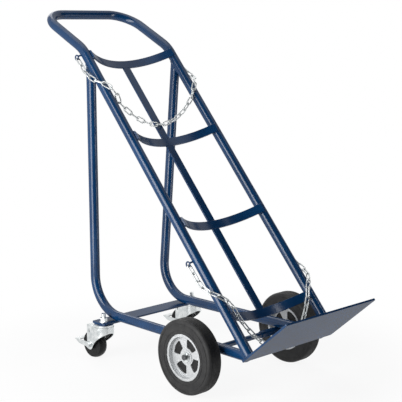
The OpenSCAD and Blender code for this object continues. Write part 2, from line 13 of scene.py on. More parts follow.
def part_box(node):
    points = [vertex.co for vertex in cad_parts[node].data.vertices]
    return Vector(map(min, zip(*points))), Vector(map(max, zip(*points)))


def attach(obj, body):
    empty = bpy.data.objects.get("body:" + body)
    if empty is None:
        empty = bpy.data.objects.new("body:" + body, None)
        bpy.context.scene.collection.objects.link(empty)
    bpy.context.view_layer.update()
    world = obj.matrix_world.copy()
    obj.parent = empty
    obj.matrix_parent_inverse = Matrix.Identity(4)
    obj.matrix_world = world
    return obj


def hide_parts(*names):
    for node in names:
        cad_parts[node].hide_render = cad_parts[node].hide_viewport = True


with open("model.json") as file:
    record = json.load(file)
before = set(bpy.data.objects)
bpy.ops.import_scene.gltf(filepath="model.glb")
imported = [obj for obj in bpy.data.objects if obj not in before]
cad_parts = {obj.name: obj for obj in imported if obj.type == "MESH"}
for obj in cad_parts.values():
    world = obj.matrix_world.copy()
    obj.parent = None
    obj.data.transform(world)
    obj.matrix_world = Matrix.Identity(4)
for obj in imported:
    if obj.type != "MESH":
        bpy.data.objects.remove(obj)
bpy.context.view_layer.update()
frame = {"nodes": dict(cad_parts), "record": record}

LOG = logging.getLogger("trolley")
MM = 0.001
JOIN_WITHIN = 0.001 * MM
WHITE = "#ffffff"
# Noise keeps close to its middle, so its two tones part within this band.
TONE_BAND = (0.35, 0.65)
# No weld on the trolley runs along this direction, so a bead's first frame can lean to it.
SKEW = Vector((0.31, 0.52, 0.79))

Tree = bpy.types.NodeTree
Socket = bpy.types.NodeSocket
Inputs = dict[str | int, object]
Material = bpy.types.Material
Mesh = bmesh.types.BMesh
Element = bmesh.types.BMFace | bmesh.types.BMEdge | bmesh.types.BMVert
Piece = bpy.types.Object


class Side(Enum):
    """The two sides of the trolley, by the sign of X."""

    LEFT = -1
    RIGHT = 1

    @property
    def word(self) -> str:
        """The side's name as it stands in node names."""
        return self.name.lower()


def linear(hex_colour: str) -> tuple[float, float, float, float]:
    """Turns an sRGB hex colour to a linear one, by the standard's curve.

    Args:
        hex_colour: Six hex digits after a hash sign.

    Returns:
        Linear red, green, blue and an alpha of 1.
    """
    parts = [int(hex_colour[i:i + 2], 16) / 255 for i in (1, 3, 5)]
    bent = [part / 12.92 if part <= 0.04045 else ((part + 0.055) / 1.055) ** 2.4 for part in parts]
    return (bent[0], bent[1], bent[2], 1.0)


def per_metre(size_mm: float) -> float:
    """Texture scale at which one cell of a pattern is size_mm wide."""
    return 1.0 / (size_mm * MM)


def add_node(tree: Tree, kind: str, inputs: Inputs | None = None, **settings: object) -> bpy.types.Node:
    """Adds a node, sets its properties, and sets or links its inputs.

    Args:
        tree: The material's or world's node tree.
        kind: The node's type name.
        inputs: Input name or index to a value, or to an output socket to link.
        **settings: Properties of the node itself.

    Returns:
        The new node.
    """
    node = tree.nodes.new(kind)
    for key, value in settings.items():
        setattr(node, key, value)
    for key, value in (inputs or {}).items():
        if isinstance(value, bpy.types.NodeSocket):
            tree.links.new(value, node.inputs[key])
        else:
            node.inputs[key].default_value = value
    return node


def fresh_material(name: str) -> tuple[Material, Tree]:
    """Makes an empty node material.

    Args:
        name: The material's name.

    Returns:
        The material and its node tree.
    """
    material = bpy.data.materials.new(name)
    material.use_nodes = True
    material.node_tree.nodes.clear()
    return material, material.node_tree


def two_tone(tree: Tree, factor: Socket, low: str, high: str) -> Socket:
    """Blends two hex colours by a noise.

    Args:
        tree: The node tree.
        factor: Output that gives 0 to 1.
        low: Hex colour where the noise is low.
        high: Hex colour where it is high.

    Returns:
        The colour output.
    """
    ramp = add_node(tree, "ShaderNodeValToRGB", {"Fac": factor})
    for element, place, colour in zip(ramp.color_ramp.elements, TONE_BAND, (low, high)):
        element.position = place
        element.color = linear(colour)
    return ramp.outputs["Color"]


def mottle(tree: Tree, size_mm: float, detail: float = 2.0) -> Socket:
    """Noise on Object coordinates.

    Args:
        tree: The node tree.
        size_mm: Width of the patches.
        detail: How many finer layers the noise has.

    Returns:
        The output that gives 0 to 1.
    """
    where = add_node(tree, "ShaderNodeTexCoord").outputs["Object"]
    noise = add_node(tree, "ShaderNodeTexNoise", {
        "Vector": where, "Scale": per_metre(size_mm), "Detail": detail})
    return noise.outputs["Fac"]


def relief(tree: Tree, height: Socket, depth_mm: float, strength: float) -> Socket:
    """Bump of a real depth.

    Args:
        tree: The node tree.
        height: Output that gives 0 to 1.
        depth_mm: Depth of the relief.
        strength: Share of it that shows.

    Returns:
        The normal output.
    """
    bump = add_node(tree, "ShaderNodeBump", {
        "Height": height, "Strength": strength, "Distance": depth_mm * MM})
    return bump.outputs["Normal"]


@dataclass(frozen=True)
class PowderCoat:
    """Polyester powder coat baked on steel: a deep gloss blue whose skin has a faint orange peel."""

    name: str = "powder_coat_deep_blue"
    deep: str = "#0b3055"
    pale: str = "#0e3860"
    roughness: float = 0.35
    gloss: float = 0.38
    gloss_ior: float = 1.9
    gloss_roughness: float = 0.18
    cloud_mm: float = 70.0
    # Real peel is about 2 mm wide. It is drawn coarser, so that it shows.
    peel_mm: float = 4.0
    peel_depth_mm: float = 0.006
    peel_strength: float = 0.2
    bare_dark: str = "#4c4e50"
    bare_light: str = "#6a6c6e"
    bare_mm: float = 3.0
    bare_roughness: float = 0.4

    def paint(self, tree: Tree) -> Socket:
        """Adds the painted skin.

        Args:
            tree: The node tree.

        Returns:
            The shader output.
        """
        normal = relief(tree, mottle(tree, self.peel_mm, detail=1.0), self.peel_depth_mm, self.peel_strength)
        paint = add_node(tree, "ShaderNodeBsdfPrincipled", {
            "Base Color": two_tone(tree, mottle(tree, self.cloud_mm, detail=3.0), self.deep, self.pale),
            "Roughness": self.roughness, "Specular IOR Level": 0.0,
            "Coat Weight": self.gloss, "Coat IOR": self.gloss_ior, "Coat Roughness": self.gloss_roughness,
            "Normal": normal, "Coat Normal": normal})
        return paint.outputs["BSDF"]

    def steel(self, tree: Tree) -> Socket:
        """Adds the bare steel.

        Args:
            tree: The node tree.

        Returns:
            The shader output.
        """
        steel = add_node(tree, "ShaderNodeBsdfPrincipled", {
            "Base Color": two_tone(tree, mottle(tree, self.bare_mm), self.bare_dark, self.bare_light),
            "Metallic": 1.0, "Roughness": self.bare_roughness})
        return steel.outputs["BSDF"]

    def build(self, bare_beyond: float | None = None) -> Material:
        """Builds the material.

        Args:
            bare_beyond: Distance from the middle plane past which the steel is left bare, or None.

        Returns:
            The material.
        """
        material, tree = fresh_material(self.name if bare_beyond is None else self.name + "_bare_ends")
        skin = self.paint(tree)
        if bare_beyond is not None:
            where = add_node(tree, "ShaderNodeTexCoord").outputs["Object"]
            across = add_node(tree, "ShaderNodeSeparateXYZ", {"Vector": where}).outputs["X"]
            away = add_node(tree, "ShaderNodeMath", {0: across}, operation="ABSOLUTE").outputs["Value"]
            ends = add_node(tree, "ShaderNodeMath", {0: away, 1: bare_beyond}, operation="GREATER_THAN")
            skin = add_node(tree, "ShaderNodeMixShader", {
                0: ends.outputs["Value"], 1: skin, 2: self.steel(tree)}).outputs["Shader"]
        add_node(tree, "ShaderNodeOutputMaterial", {"Surface": skin})
        return material


@dataclass(frozen=True)
class PlatedSteel:
    """Zinc on steel: a bright metal sheen with soft mottling and faint handling marks."""

    name: str
    dark: str
    light: str
    rough_low: float
    rough_high: float
    spangle_mm: float
    rough_band: tuple[float, float] = (0.3, 0.7)
    mark_mm: float = 1.5
    mark_depth_mm: float = 0.02
    mark_strength: float = 0.2

    def build(self) -> Material:
        """Builds the material.

        Returns:
            The material.
        """
        material, tree = fresh_material(self.name)
        spangle = mottle(tree, self.spangle_mm, detail=4.0)
        rough = add_node(tree, "ShaderNodeMapRange", {
            "Value": spangle, "From Min": self.rough_band[0], "From Max": self.rough_band[1],
            "To Min": self.rough_low, "To Max": self.rough_high})
        marks = relief(tree, mottle(tree, self.mark_mm), self.mark_depth_mm, self.mark_strength)
        shader = add_node(tree, "ShaderNodeBsdfPrincipled", {
            "Base Color": two_tone(tree, spangle, self.dark, self.light), "Metallic": 1.0,
            "Roughness": rough.outputs["Result"], "Normal": marks})
        add_node(tree, "ShaderNodeOutputMaterial", {"Surface": shader.outputs["BSDF"]})
        return material


@dataclass(frozen=True)
class MouldedBlack:
    """Black rubber or hard plastic from a mould: satin, a little dusty, with a fine grain."""

    name: str
    deep: str
    dusty: str
    roughness: float
    ior: float = 1.4
    dust_mm: float = 22.0
    # A mould's grain is well under 1 mm. It is drawn coarser, so that it shows.
    grain_mm: float = 1.6
    grain_depth_mm: float = 0.06
    grain_strength: float = 0.35

    def build(self) -> Material:
        """Builds the material.

        Returns:
            The material.
        """
        material, tree = fresh_material(self.name)
        grain = relief(tree, mottle(tree, self.grain_mm), self.grain_depth_mm, self.grain_strength)
        shader = add_node(tree, "ShaderNodeBsdfPrincipled", {
            "Base Color": two_tone(tree, mottle(tree, self.dust_mm, detail=5.0), self.deep, self.dusty),
            "Roughness": self.roughness, "IOR": self.ior, "Normal": grain})
        add_node(tree, "ShaderNodeOutputMaterial", {"Surface": shader.outputs["BSDF"]})
        return material


@dataclass(frozen=True)
class SilverPaint:
    """Aluminium paint on a pressed rim: fine metal flake under a satin skin."""

    name: str = "aluminium_paint_silver"
    dark: str = "#b6b8ba"
    light: str = "#cdcfd0"
    metal: float = 0.5
    roughness: float = 0.42
    # Real flake is under 0.1 mm. It is drawn coarser, so that it shows.
    flake_mm: float = 1.2
    flake_depth_mm: float = 0.02
    flake_strength: float = 0.15

    def build(self) -> Material:
        """Builds the material.

        Returns:
            The material.
        """
        material, tree = fresh_material(self.name)
        flake = mottle(tree, self.flake_mm)
        shader = add_node(tree, "ShaderNodeBsdfPrincipled", {
            "Base Color": two_tone(tree, flake, self.dark, self.light),
            "Metallic": self.metal, "Roughness": self.roughness,
            "Normal": relief(tree, flake, self.flake_depth_mm, self.flake_strength)})
        add_node(tree, "ShaderNodeOutputMaterial", {"Surface": shader.outputs["BSDF"]})
        return material


class Finishes:
    """The trolley's materials, made once and shared by its pieces."""

    def __init__(self) -> None:
        """Builds every finish."""
        self.blue = PowderCoat().build()
        self.rod = PowderCoat().build(bare_beyond=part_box("right_axle_sleeve")[1].x)
        # Bright zinc mirrors the room softly. The chain's wire is duller and greyer.
        self.zinc = PlatedSteel("bright_zinc_plate", dark="#c8cdce", light="#e4e7e7",
                                rough_low=0.2, rough_high=0.34, spangle_mm=14.0).build()
        self.chain = PlatedSteel("galvanised_chain_wire", dark="#aaaeaf", light="#cdd0d0",
                                 rough_low=0.3, rough_high=0.45, spangle_mm=6.0).build()
        # Rubber is greyer and drier than the rollers' plastic. The cores are black plastic, drawn plain, matt
        # and darker than the rollers as painted shade in the rims' windows.
        self.tyre = MouldedBlack("solid_rubber_black", deep="#262627", dusty="#313131",
                                 roughness=0.55, ior=1.3).build()
        self.roller = MouldedBlack("polypropylene_black", deep="#0f1011", dusty="#161718",
                                   roughness=0.4, ior=1.28, grain_depth_mm=0.03).build()
        self.core = MouldedBlack("core_black_painted_shade", deep="#0d0d0e", dusty="#151516", roughness=0.6).build()
        self.silver = SilverPaint().build()

    def for_node(self, node: str) -> Material:
        """Picks a CAD node's finish.

        Args:
            node: The node's name.

        Returns:
            Its material.
        """
        own = {"tyre": self.tyre, "caster_wheel": self.roller, "core": self.core, "rim": self.silver,
               "axle_rod": self.rod}
        for ending, material in own.items():
            if node.endswith(ending):
                return material
        slots = {part["node"]: part["material_slot"] for part in frame["record"]["subparts"]}
        return {"blue_enamel": self.blue, "galvanised_chain": self.chain}.get(slots[node], self.zinc)


def add_object(name: str, mesh: Mesh, material: Material) -> Piece:
    """Turns a bmesh into an object of the scene.

    Args:
        name: The object's name.
        mesh: Its mesh, in place, which is freed.
        material: Its finish.

    Returns:
        The new object.
    """
    data = bpy.data.meshes.new(name)
    mesh.to_mesh(data)
    mesh.free()
    data.materials.append(material)
    piece = bpy.data.objects.new(name, data)
    bpy.context.scene.collection.objects.link(piece)
    return piece


def new_piece(name: str, mesh: Mesh, material: Material, body: str) -> Piece:
    """Turns a bmesh into a piece that rides on a body.

    Args:
        name: The piece's name.
        mesh: Its mesh, in place, which is freed.
        material: Its finish.
        body: The CAD body it moves with.

    Returns:
        The new piece.
    """
    bmesh.ops.recalc_face_normals(mesh, faces=mesh.faces[:])
    piece = add_object(name, mesh, material)
    piece.data.shade_smooth()
    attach(piece, body)
    LOG.info("%s: %d faces on %s", name, len(piece.data.polygons), body)
    return piece


def square_frame(at: Vector, along: Vector, hint: Vector) -> Matrix:
    """Frame at a point whose Z axis runs along a direction.

    Args:
        at: The frame's origin.
        along: Direction of its Z axis.
        hint: Direction that its X axis leans to.

    Returns:
        The frame as a 4x4 matrix.
    """
    z = along.normalized()
    x = (hint - hint.dot(z) * z).normalized()
    y = z.cross(x)
    return Matrix.Translation(at) @ Matrix((x, y, z)).transposed().to_4x4()


@dataclass(frozen=True)
class Bead:
    """A round weld bead, with the ripples that a welder's hand leaves and a thin tip at each end.

    The ripple and the tip are shares of the radius, and the pitch is the distance between ripples.
    """

    radius: float
    ripple: float = 0.1
    pitch: float = 2.6 * MM
    tip: float = 0.45
    tip_rings: int = 2
    sides: int = 8

    def frames(self, path: list[Vector], closed: bool) -> list[Matrix]:
        """Frames of the bead's rings, scaled to the rings' sizes.

        Args:
            path: Points along the bead.
            closed: True where the path returns to its start.

        Returns:
            A frame for each point.
        """
        count = len(path)
        hint = SKEW
        travelled = 0.0
        frames = []
        for i, point in enumerate(path):
            before = path[i - 1] if closed or i else point
            after = path[(i + 1) % count] if closed or i < count - 1 else point
            place = square_frame(point, after - before, hint)
            hint = place.col[0].to_3d()
            travelled += (point - path[i - 1]).length if i else 0.0
            rise = (1 - self.tip) * min(i, count - 1 - i) / self.tip_rings
            taper = 1.0 if closed else min(1.0, self.tip + rise)
            size = self.radius * taper * (1 + self.ripple * math.sin(2 * math.pi * travelled / self.pitch))
            frames.append(place @ Matrix.Diagonal((size, size, size, 1)))
        return frames

    def sweep(self, mesh: Mesh, path: list[Vector], closed: bool = False) -> None:
        """Draws the bead along a path.

        Args:
            mesh: The mesh to add to.
            path: Points along the bead.
            closed: True where the path returns to its start.
        """
        frames = self.frames(path, closed)
        ring = bmesh.ops.create_circle(
            mesh, cap_ends=not closed, segments=self.sides, radius=1.0, matrix=frames[0])["verts"]
        first = [edge for edge in mesh.edges if all(vert in ring for vert in edge.verts)]
        edges = first
        for before, after in itertools.pairwise(frames):
            new = bmesh.ops.extrude_edge_only(mesh, edges=edges)["geom"]
            verts = [item for item in new if isinstance(item, bmesh.types.BMVert)]
            edges = [item for item in new if isinstance(item, bmesh.types.BMEdge)
                     and all(vert in verts for vert in item.verts)]
            bmesh.ops.transform(mesh, matrix=after @ before.inverted(), verts=verts)
        if closed:
            bmesh.ops.bridge_loops(mesh, edges=first + edges)
        else:
            bmesh.ops.contextual_create(mesh, geom=edges)


@dataclass
class RailFrame:
    """The leaning frame of the two rails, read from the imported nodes."""

    tube_r: float = 13.5 * MM
    up: Vector = field(init=False)
    back: Vector = field(init=False)
    foot: Vector = field(init=False)
    rail_x: float = field(init=False)

    def __post_init__(self) -> None:
        """Finds the lean, the rails' feet and their distance from the middle plane."""
        ends = (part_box("bottom_rung"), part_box("top_rung"))
        low, high = (sum((Vector(corner) for corner in box), Vector()) / 2 for box in ends)
        self.up = Vector((0, high.y - low.y, high.z - low.z)).normalized()
        self.back = Vector((0, self.up.z, -self.up.y))
        box_low, box_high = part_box("main_tube")
        self.rail_x = box_high[0] - self.tube_r
        self.foot = Vector((0, box_low[1] + self.tube_r * self.up.z, box_low[2] + self.tube_r * self.up.y))

    def point(self, x: float, depth: float, along: float) -> Vector:
        """Point at x, behind the rails by depth, and along them from their feet."""
        return self.foot + Vector((x, 0, 0)) + self.back * depth + self.up * along

    def along(self, point: Vector) -> float:
        """How far along the rails a point lies, from their feet."""
        return (point - self.foot).dot(self.up)


@dataclass
class FlatBars:
    """The rungs and the strap as the photograph shows them, in place of their nodes.

    They are 25 mm flat bar, and the rungs' ends lap over the rails' fronts. The solids have 20 mm bar, with
    the rungs' ends between the rails. The bottom rung keeps that bend, because the lower chain is close.
    """

    rails: RailFrame
    width: float = 25 * MM
    thick: float = 5 * MM
    rung_depth: float = 38 * MM
    low_r: float = 275 * MM
    weld_gap: float = 0.1 * MM
    lap: float = 4 * MM
    steps: int = 48
    crease_deg: float = 40.0
    low_rung: str = "bottom_rung"
    lapped: tuple[str, ...] = ("lower_middle_rung", "upper_middle_rung", "top_rung")
    straps: tuple[str, ...] = ("lower_strap", "middle_strap", "upper_strap")

    @property
    def rungs(self) -> tuple[str, ...]:
        """All rungs, from below."""
        return (self.low_rung, *self.lapped)

    @property
    def lap_r(self) -> float:
        """Radius of the lapped rungs' front faces, which lets their backs lie on the rails."""
        rest = self.thick + self.rails.tube_r + self.weld_gap
        return (self.rails.rail_x ** 2 + self.rung_depth ** 2 - rest ** 2) / (2 * (self.rung_depth + rest))

    @property
    def contact(self) -> float:
        """Angle round a rail, from its inner side to the front, at which the lapped rungs lie on it."""
        return math.atan2(self.lap_r - self.rung_depth, self.rails.rail_x)

    def low_angle(self, radius: float) -> float:
        """Angle from the middle at which a face of the bottom rung meets the rails.

        Args:
            radius: The face's radius.

        Returns:
            The angle.
        """
        ahead = self.low_r - self.rung_depth
        apart = math.hypot(self.rails.rail_x, ahead)
        meet = (radius ** 2 + apart ** 2 - self.rails.tube_r ** 2) / (2 * apart * radius)
        return math.atan2(self.rails.rail_x, ahead) - math.acos(meet)

    def bend(self, node: str) -> tuple[float, float]:
        """How a rung is bent.

        Args:
            node: The CAD rung.

        Returns:
            The radius of its front face, and half the angle that it covers.
        """
        if node in self.lapped:
            return self.lap_r, math.pi / 2 - self.contact + self.lap / self.lap_r
        return self.low_r, self.low_angle(self.low_r)

    def middle(self, node: str) -> float:
        """How far along the rails a node's middle lies."""
        low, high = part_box(node)
        return self.rails.along((low + high) / 2)

    def strap_half(self, node: str) -> float:
        """Half the length of a strap between its two rungs.

        Args:
            node: The CAD strap.

        Returns:
            The length.
        """
        i = self.straps.index(node)
        pitch = self.middle(self.rungs[i + 1]) - self.middle(self.rungs[i])
        return (pitch - self.width) / 2 - self.weld_gap

    def rung(self, node: str) -> Mesh:
        """Bends one rung.

        Args:
            node: The CAD rung.

        Returns:
            The rung's mesh, in place.
        """
        rails = self.rails
        radius, reach = self.bend(node)
        axis = rails.point(0, self.rung_depth - radius, self.middle(node))
        start = square_frame(axis, rails.up, rails.back) @ Matrix.Rotation(-reach, 4, "Z")
        upright = Matrix.Translation((radius + self.thick / 2, 0, 0)) @ Matrix.Rotation(math.pi / 2, 4, "X")
        size = Matrix.Diagonal((self.thick / 2, self.width / 2, 1, 1))
        mesh = bmesh.new()
        bmesh.ops.create_grid(mesh, x_segments=1, y_segments=1, size=1.0, matrix=start @ upright @ size)
        bmesh.ops.spin(mesh, geom=[*mesh.faces, *mesh.edges, *mesh.verts], cent=axis, axis=rails.up,
                       angle=2 * reach, steps=self.steps)
        return mesh

    def strap(self, node: str) -> Mesh:
        """Cuts one length of the strap.

        Args:
            node: The CAD strap.

        Returns:
            The strap's mesh, in place.
        """
        centre = self.rails.point(0, self.rung_depth + self.thick / 2, self.middle(node))
        place = square_frame(centre, self.rails.up, Vector((1, 0, 0)))
        size = Matrix.Diagonal((self.width, self.thick, 2 * self.strap_half(node), 1))
        mesh = bmesh.new()
        bmesh.ops.create_cube(mesh, size=1.0, matrix=place @ size)
        return mesh

    def build(self, blue: Material) -> list[Piece]:
        """Builds the bars in place of their nodes.

        Args:
            blue: The frame's powder coat.

        Returns:
            The new bars.
        """
        pieces = []
        for nodes, shape in ((self.rungs, self.rung), (self.straps, self.strap)):
            for node in nodes:
                piece = new_piece(f"{node}_bar", shape(node), blue, "frame")
                piece.data.set_sharp_from_angle(angle=math.radians(self.crease_deg))
                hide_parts(node)
                pieces.append(piece)
        return pieces


@dataclass
class WeldBeads:
    """The welds that hold the frame together, painted over with it."""

    rails: RailFrame
    bars: FlatBars
    big: Bead = Bead(2.2 * MM)
    small: Bead = Bead(1.7 * MM)
    # Shares of a bead's radius by which its middle stands off a rail's side, and above the toe plate.
    off_share: float = 0.3
    foot_share: float = 0.4
    # Share of a bar's width that a straight bead covers.
    bar_share: float = 0.9
    ring_steps: int = 40
    lap_steps: int = 16
    lap_spread_deg: float = 60.0
    least_steps: int = 6
    steps_per_ripple: int = 3
    # Where the legs' axes reach the rails, and where the rails' feet stand, from the toe plate's underside.
    leg_joint: float = 936 * MM
    foot_rise: float = 5.1 * MM
    # How far the leg tubes' rear corners and front ends lie from the middle plane.
    corner_x: float = 131.7 * MM
    nose_x: float = 146.8 * MM
    # A tube that runs down the rails at least this steeply can meet the toe plate.
    steep: float = 0.1

    def turns(self) -> list[float]:
        """Evenly spaced angles round a tube."""
        return [2 * math.pi * i / self.ring_steps for i in range(self.ring_steps)]

    def line(self, start: Vector, end: Vector) -> list[Vector]:
        """Evenly spaced points from start to end."""
        count = max(self.least_steps, int((end - start).length / (self.small.pitch / self.steps_per_ripple)))
        return [start.lerp(end, i / count) for i in range(count + 1)]

    def feet(self) -> Mesh:
        """Beads round the rails' feet on the toe plate.

        Returns:
            Their mesh.
        """
        mesh = bmesh.new()
        radius = self.rails.tube_r + self.off_share * self.big.radius
        lift = self.foot_share * self.big.radius
        for side in Side:
            middle = side.value * self.rails.rail_x
            ring = [self.rails.point(middle + radius * math.cos(turn), radius * math.sin(turn), lift)
                    for turn in self.turns()]
            self.big.sweep(mesh, ring, closed=True)
        return mesh

    def lap_line(self, side: Side, node: str, edge: int) -> list[Vector]:
        """Line along a lapped rung's edge, where it lies on a rail.

        Args:
            side: The rail's side.
            node: The CAD rung.
            edge: -1 for the lower edge, 1 for the upper one.

        Returns:
            Points round the rail.
        """
        off = self.off_share * self.small.radius
        radius = self.rails.tube_r + off
        place = self.bars.middle(node) + edge * (self.bars.width / 2 + off)
        spread = math.radians(self.lap_spread_deg)
        turns = (self.bars.contact + spread * (i / self.lap_steps - 0.5) for i in range(self.lap_steps + 1))
        return [self.rails.point(
            side.value * (self.rails.rail_x - radius * math.cos(turn)), -radius * math.sin(turn), place)
            for turn in turns]

    def rungs(self) -> Mesh:
        """Short beads where the rungs meet the rails.

        Returns:
            Their mesh.
        """
        mesh = bmesh.new()
        bars = self.bars
        low, half = bars.middle(bars.low_rung), self.bar_share * bars.width / 2
        for side in Side:
            for node, edge in itertools.product(bars.lapped, (-1, 1)):
                self.small.sweep(mesh, self.lap_line(side, node, edge))
            for face in (bars.low_r, bars.low_r + bars.thick):
                turn = bars.low_angle(face)
                x = side.value * face * math.sin(turn)
                depth = bars.rung_depth - bars.low_r + face * math.cos(turn)
                start, end = (self.rails.point(x, depth, low + sign * half) for sign in (-1, 1))
                self.small.sweep(mesh, self.line(start, end))
        return mesh

    def straps(self) -> Mesh:
        """Beads on the back of the strap, where its lengths butt against the rungs.

        Returns:
            Their mesh.
        """
        mesh = bmesh.new()
        bars = self.bars
        depth, half = bars.rung_depth + bars.thick, self.bar_share * bars.width / 2
        for node, edge in itertools.product(bars.straps, (-1, 1)):
            place = bars.middle(node) + edge * bars.strap_half(node)
            start, end = (self.rails.point(sign * half, depth, place) for sign in (-1, 1))
            self.small.sweep(mesh, self.line(start, end))
        return mesh

    def cope(self, side: Side, start: Vector, along: Vector) -> list[Vector]:
        """Line where a round tube meets a rail or the toe plate.

        Args:
            side: The rail's side.
            start: A point on the tube's axis, outside the rail.
            along: The axis' direction towards the rail.

        Returns:
            Points round the tube.
        """
        along = along.normalized()
        first = along.orthogonal().normalized()
        second = along.cross(first)
        axis = self.rails.point(side.value * self.rails.rail_x, 0, 0)
        radius = self.rails.tube_r
        sink = along.dot(self.rails.up)
        step = along - sink * self.rails.up
        path = []
        for turn in self.turns():
            point = start + radius * (math.cos(turn) * first + math.sin(turn) * second)
            gap = point - axis
            gap -= gap.dot(self.rails.up) * self.rails.up
            slope = gap.dot(step)
            spare = slope ** 2 - step.length_squared * (gap.length_squared - radius ** 2)
            reach = [(-slope - math.sqrt(spare)) / step.length_squared] if spare > 0 else []
            if sink < -self.steep:
                reach.append(-self.rails.along(point) / sink)
            path.append(point + along * min(reach))
        return path

    def legs(self) -> Mesh:
        """Beads round the tops of the legs and the front ends of the base tubes.

        Returns:
            Their mesh.
        """
        mesh = bmesh.new()
        for side in Side:
            low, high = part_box(f"{side.word}_leg_tube")
            base_z = low[2] + self.rails.tube_r
            corner = Vector((side.value * self.corner_x, high[1] - self.rails.tube_r, base_z))
            top = self.rails.point(side.value * self.rails.rail_x, 0, self.leg_joint - self.foot_rise)
            nose = Vector((side.value * self.nose_x, self.rails.foot.y, base_z))
            for end in (top, nose):
                self.big.sweep(mesh, self.cope(side, corner, end - corner), closed=True)
        return mesh

    def build(self, blue: Material) -> None:
        """Builds all the welds.

        Args:
            blue: The frame's powder coat.
        """
        for name, mesh in (("foot_welds", self.feet()), ("rung_welds", self.rungs()),
                           ("strap_welds", self.straps()), ("leg_welds", self.legs())):
            new_piece(name, mesh, blue, "frame")


@dataclass
class StudThreads:
    """Rolled threads on the free ends of the caster bolts.

    The ridge's root and crest, and the plain lengths above the nut and at the tip, are shares of the pitch.
    """

    bolt_r: float = 6 * MM
    washer_r: float = 12 * MM
    pitch: float = 1.75 * MM
    depth: float = 0.5 * MM
    proud: float = 0.12 * MM
    root: float = 0.9
    crest: float = 0.1
    plain_below: float = 0.3
    plain_above: float = 0.6
    steps: int = 20

    def section(self, mesh: Mesh, start: Vector) -> list[Element]:
        """Draws the ridge's section.

        Args:
            mesh: The mesh to add to.
            start: The point of the bolt's axis that is level with the ridge's lower edge.

        Returns:
            The section's face, edges and vertices.
        """
        inner, outer = self.bolt_r - self.depth, self.bolt_r + self.proud
        half = self.root * self.pitch / 2
        centre = start + Vector(((inner + outer) / 2, 0, half))
        upright = Matrix.Translation(centre) @ Matrix.Rotation(math.pi / 2, 4, "X")
        size = Matrix.Diagonal(((outer - inner) / 2, half, 1, 1))
        verts = bmesh.ops.create_grid(
            mesh, x_segments=1, y_segments=1, size=1.0, matrix=upright @ size)["verts"]
        bmesh.ops.scale(mesh, vec=(1, 1, self.crest / self.root), space=Matrix.Translation(-centre),
                        verts=[vert for vert in verts if vert.co.x > centre.x])
        face = verts[0].link_faces[0]
        return [face, *face.edges, *face.verts]

    def build(self, zinc: Material) -> None:
        """Builds one helical ridge per stud, above its nut.

        Args:
            zinc: The bolts' finish.
        """
        low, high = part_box("caster_bolts")
        stud_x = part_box("caster_washers")[1].x - self.washer_r
        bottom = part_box("caster_nuts")[1].z + self.plain_below * self.pitch
        turns = int((high[2] - bottom) / self.pitch - self.plain_above)
        mesh = bmesh.new()
        for side in Side:
            start = Vector((side.value * stud_x, (low[1] + high[1]) / 2, bottom))
            bmesh.ops.spin(mesh, geom=self.section(mesh, start), cent=start, axis=Vector((0, 0, 1)),
                           dvec=Vector((0, 0, self.pitch / self.steps)), angle=2 * math.pi * turns,
                           steps=self.steps * turns)
        bmesh.ops.remove_doubles(mesh, verts=mesh.verts[:], dist=JOIN_WITHIN)
        new_piece("stud_threads", mesh, zinc, "frame")


@dataclass
class EdgeBreak:
    """The small round that grinding and paint leave on sheared edges of plate and bar."""

    plates: tuple[str, ...] = ("toe_plate", "caster_bar")
    width: float = 0.7 * MM
    segments: int = 2
    crease_deg: float = 40.0

    def build(self, bars: list[Piece]) -> None:
        """Adds the rounds as modifiers.

        Args:
            bars: The flat bars, which get them too.
        """
        for piece in [frame["nodes"][name] for name in self.plates] + bars:
            weld = piece.modifiers.new("join", "WELD")
            weld.merge_threshold = JOIN_WITHIN
            bevel = piece.modifiers.new("edge", "BEVEL")
            bevel.width = self.width
            bevel.segments = self.segments
            bevel.limit_method = "ANGLE"
            bevel.angle_limit = math.radians(self.crease_deg)
            bevel.harden_normals = True


@dataclass(frozen=True)
class Panel:
    """A flat panel of the studio: its bearing and rise in degrees, and its distance and size in metres."""

    name: str
    bearing: float
    rise: float
    distance: float
    width: float
    tall: float

    def place(self, target: Vector) -> Matrix:
        """Frame of the panel, turned to a point.

        Args:
            target: The point it faces.

        Returns:
            The frame, whose Z axis points away from the target.
        """
        turn, lift = math.radians(self.bearing), math.radians(self.rise)
        away = Vector((math.cos(turn) * math.cos(lift), math.sin(turn) * math.cos(lift), math.sin(lift)))
        return square_frame(target + self.distance * away, away, Vector((-away.y, away.x, 0)))


@dataclass(frozen=True)
class Softbox(Panel):
    """A panel that shines."""

    radiance: float

    def build(self, target: Vector) -> None:
        """Hangs the softbox.

        Args:
            target: The point it shines at.
        """
        data = bpy.data.lights.new(self.name, "AREA")
        data.shape = "RECTANGLE"
        data.size, data.size_y = self.width, self.tall
        data.energy = self.radiance * math.pi * self.width * self.tall
        lamp = bpy.data.objects.new(self.name, data)
        lamp.matrix_world = self.place(target)
        lamp.visible_camera = False
        bpy.context.scene.collection.objects.link(lamp)


@dataclass(frozen=True)
class BlackCard(Panel):
    """A panel of black felt, which gives gloss and metal something dark to mirror."""

    felt: str = "#0a0a0b"

    def build(self, target: Vector) -> None:
        """Stands the card up.

        Args:
            target: The point it faces.
        """
        mesh = bmesh.new()
        size = Matrix.Diagonal((self.width / 2, self.tall / 2, 1, 1))
        bmesh.ops.create_grid(mesh, x_segments=1, y_segments=1, size=1.0, matrix=self.place(target) @ size)
        material, tree = fresh_material("black_felt")
        cloth = add_node(tree, "ShaderNodeBsdfDiffuse", {"Color": linear(self.felt)})
        add_node(tree, "ShaderNodeOutputMaterial", {"Surface": cloth.outputs["BSDF"]})
        card = add_object(self.name, mesh, material)
        card.visible_camera = False


